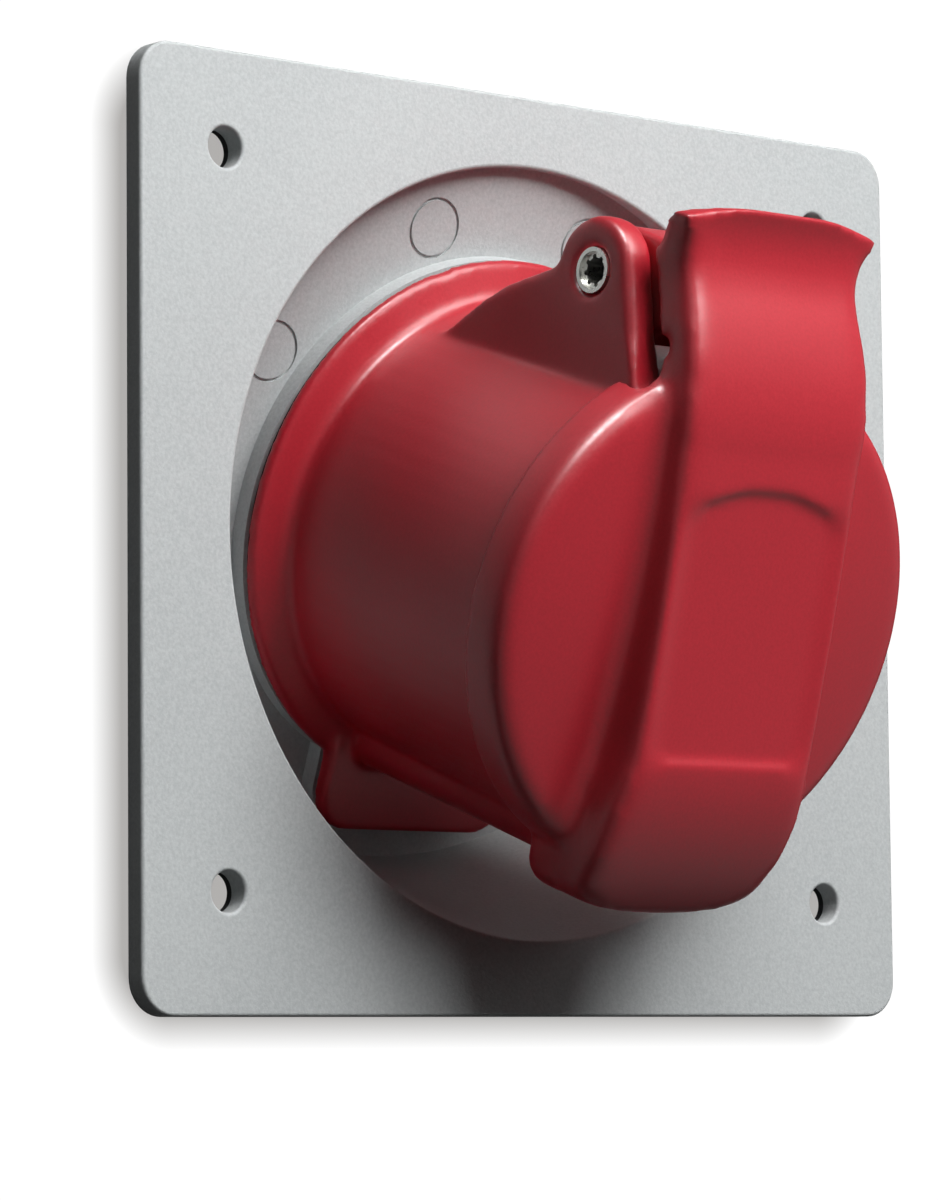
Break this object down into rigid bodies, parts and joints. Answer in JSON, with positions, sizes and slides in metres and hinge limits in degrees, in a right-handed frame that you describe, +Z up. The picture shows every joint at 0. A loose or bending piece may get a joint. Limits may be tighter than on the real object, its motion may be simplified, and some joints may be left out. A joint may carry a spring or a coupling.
{
  "type": "industrial panel socket",
  "caption": "Angled flush panel socket for an industrial plug: square-cornered flange with a round tilted recess, barrel with keyway, sprung hinged lid, contact insert behind.",
  "frame": {"origin": "centre of the four screw holes on the panel face, where the flat gasket lies on the panel", "axes": "+Z up, +X to the right as seen from the front, -Y out of the panel towards the user; the socket points forward and down"},
  "size_m": [0.107, 0.0789, 0.1],
  "materials": {
    "grey_shell": "fine grained moulded plastic, light grey",
    "red_plastic": "satin moulded plastic, signal red",
    "gasket_rubber": "soft black rubber",
    "seal_rubber": "soft black rubber",
    "lid_rubber": "soft grey rubber",
    "nut_plastic": "moulded plastic, dark grey",
    "insert_plastic": "filled moulded plastic, black",
    "pin_steel": "stainless steel, turned",
    "spring_steel": "stainless spring wire",
    "contact_brass": "brass, nickel plated",
    "clip_steel": "spring steel",
    "screw_steel": "zinc plated steel"
  },
  "bodies": {
    "socket": {"flange": "grey_shell", "flange_gasket": "gasket_rubber", "shell": "red_plastic", "shell_seal": "seal_rubber", "retaining_nut": "nut_plastic", "hinge_pin": "pin_steel", "lid_spring": "spring_steel", "insert_front": "insert_plastic", "insert_back": "insert_plastic", "sleeve_l1": "contact_brass", "sleeve_l2": "contact_brass", "sleeve_l3": "contact_brass", "sleeve_earth": "contact_brass", "phase_clips": "clip_steel", "earth_clip": "clip_steel", "clamp_screws": "screw_steel", "back_screws": "screw_steel"},
    "lid": {"lid": "red_plastic", "lid_gasket": "lid_rubber"}
  },
  "joints": [
    {"name": "lid_hinge", "type": "hinge", "parent": "socket", "child": "lid", "pos_m": [0, -0.02793, 0.02524], "axis": [-1, 0, 0], "range_deg": [0, 150], "stiffness_Nm_per_rad": 0.02, "springref_deg": -68.75, "deforming": ["lid_spring"]}
  ]
}
